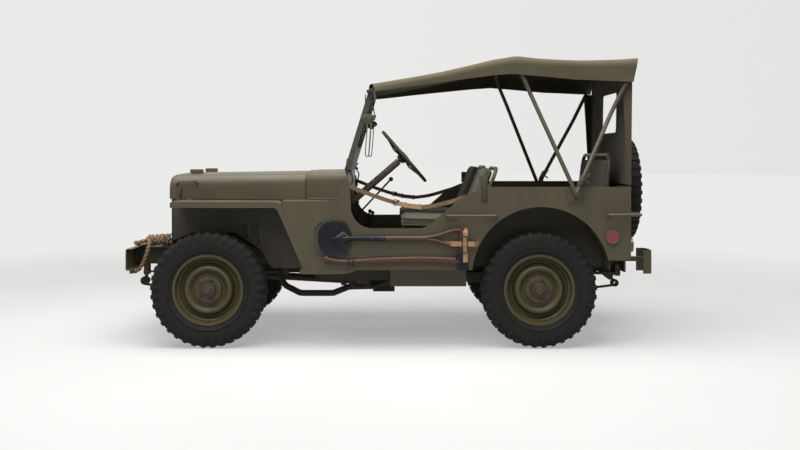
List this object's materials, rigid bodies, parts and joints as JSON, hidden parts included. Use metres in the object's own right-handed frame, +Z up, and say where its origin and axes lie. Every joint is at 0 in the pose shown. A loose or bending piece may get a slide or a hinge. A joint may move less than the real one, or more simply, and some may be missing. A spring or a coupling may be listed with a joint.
{
  "type": "open army 4x4 car with canvas top",
  "caption": "Light open army 4x4 car: ladder frame, low-sided steel tub, flat fenders, folding windscreen, canvas top on bows, spare wheel, side tools, opening bonnet, steered front wheels.",
  "frame": {"origin": "centre of the car's outline on the ground", "axes": "+X to the rear of the car, +Y to its right side, +Z up"},
  "size_m": [3.3216, 1.591, 1.8055],
  "materials": {
    "black_grip": "worn",
    "block_wood": "painted olive",
    "canvas": "khaki canvas",
    "chassis_paint": "dusty dark olive",
    "dark_iron": "oily",
    "glass": "clear",
    "hickory": "oiled red-brown",
    "manila": "three-strand rope",
    "olive_paint": "flat olive drab",
    "red_lens": "clear red",
    "seat_canvas": "grey olive canvas",
    "strap_leather": "tan",
    "tool_steel": "blue-black",
    "tyre_rubber": "matt",
    "webbing": "woven",
    "wheel_paint": "flat olive green"
  },
  "bodies": {
    "car": {"axe": "hickory", "canopy_bows": "olive_paint", "canopy_curtains": "canvas", "canopy_top": "canvas", "cowl": "olive_paint", "door_straps": "webbing", "exhaust": "dark_iron", "fender_left": "olive_paint", "fender_right": "olive_paint", "floor_pan": "olive_paint", "frame": "chassis_paint", "front_axle": "chassis_paint", "front_bumper": "olive_paint", "grab_handles": "olive_paint", "grille": "olive_paint", "headlamps": "olive_paint", "leaf_springs": "chassis_paint", "levers_and_pedals": "olive_paint", "marker_lamps": "red_lens", "power_unit": "dark_iron", "propeller_shafts": "chassis_paint", "radiator": "olive_paint", "rear_axle": "chassis_paint", "rear_bumperettes": "olive_paint", "rear_panel": "olive_paint", "rope_hank": "manila", "seat_cushions": "seat_canvas", "seat_frames": "olive_paint", "shovel": "tool_steel", "side_panel_left": "olive_paint", "side_panel_right": "olive_paint", "spare_carrier": "olive_paint", "spare_tyre": "tyre_rubber", "spare_wheel": "wheel_paint", "steering_column": "olive_paint", "tool_straps": "strap_leather", "tow_pintle": "olive_paint", "wheelhouses": "olive_paint", "windscreen_frame": "olive_paint", "windscreen_glass": "glass"},
    "hood": {"hood": "olive_paint", "hood_blocks": "block_wood"},
    "knuckle_left": {"knuckle_left": "chassis_paint"},
    "knuckle_right": {"knuckle_right": "chassis_paint"},
    "tie_rod": {"tie_rod": "chassis_paint"},
    "steering_wheel": {"steering_wheel": "black_grip"},
    "wheel_front_left": {"wheel_front_left": "wheel_paint", "tyre_front_left": "tyre_rubber"},
    "wheel_front_right": {"wheel_front_right": "wheel_paint", "tyre_front_right": "tyre_rubber"},
    "wheel_rear_left": {"wheel_rear_left": "wheel_paint", "tyre_rear_left": "tyre_rubber"},
    "wheel_rear_right": {"wheel_rear_right": "wheel_paint", "tyre_rear_right": "tyre_rubber"}
  },
  "joints": [
    {"name": "hood_hinge", "type": "hinge", "parent": "car", "child": "hood", "pos_m": [-0.56, 0, 1.081], "axis": [0, 1, 0], "range_deg": [0, 105]},
    {"name": "steer_left", "type": "hinge", "parent": "car", "child": "knuckle_left", "pos_m": [-1.15, -0.54, 0.357], "axis": [0, 0.1305, 0.9914], "range_deg": [-24, 24]},
    {"name": "steer_right", "type": "hinge", "parent": "car", "child": "knuckle_right", "pos_m": [-1.15, 0.54, 0.357], "axis": [0, -0.1305, 0.9914], "range_deg": [-24, 24]},
    {"name": "tie_rod_slide", "type": "slide", "parent": "car", "child": "tie_rod", "axis": [0, 1, 0], "range_m": [-0.075, 0.075]},
    {"name": "steering_wheel_turn", "type": "hinge", "parent": "car", "child": "steering_wheel", "pos_m": [0.059, -0.35, 1.176], "axis": [0.7547, 0, 0.6561], "range_deg": [-340, 340]},
    {"name": "spin_front_left", "type": "hinge", "parent": "knuckle_left", "child": "wheel_front_left", "pos_m": [-1.15, -0.622, 0.357], "axis": [0, 1, 0], "continuous": true},
    {"name": "spin_front_right", "type": "hinge", "parent": "knuckle_right", "child": "wheel_front_right", "pos_m": [-1.15, 0.622, 0.357], "axis": [0, 1, 0], "continuous": true},
    {"name": "spin_rear_left", "type": "hinge", "parent": "car", "child": "wheel_rear_left", "pos_m": [0.882, -0.622, 0.357], "axis": [0, 1, 0], "continuous": true},
    {"name": "spin_rear_right", "type": "hinge", "parent": "car", "child": "wheel_rear_right", "pos_m": [0.882, 0.622, 0.357], "axis": [0, 1, 0], "continuous": true}
  ],
  "couplings": [
    {"joint": "steer_right", "follows": "steer_left", "ratio": 1},
    {"joint": "tie_rod_slide", "follows": "steer_left", "m_per_rad": 0.174},
    {"joint": "steering_wheel_turn", "follows": "steer_left", "ratio": 14}
  ]
}
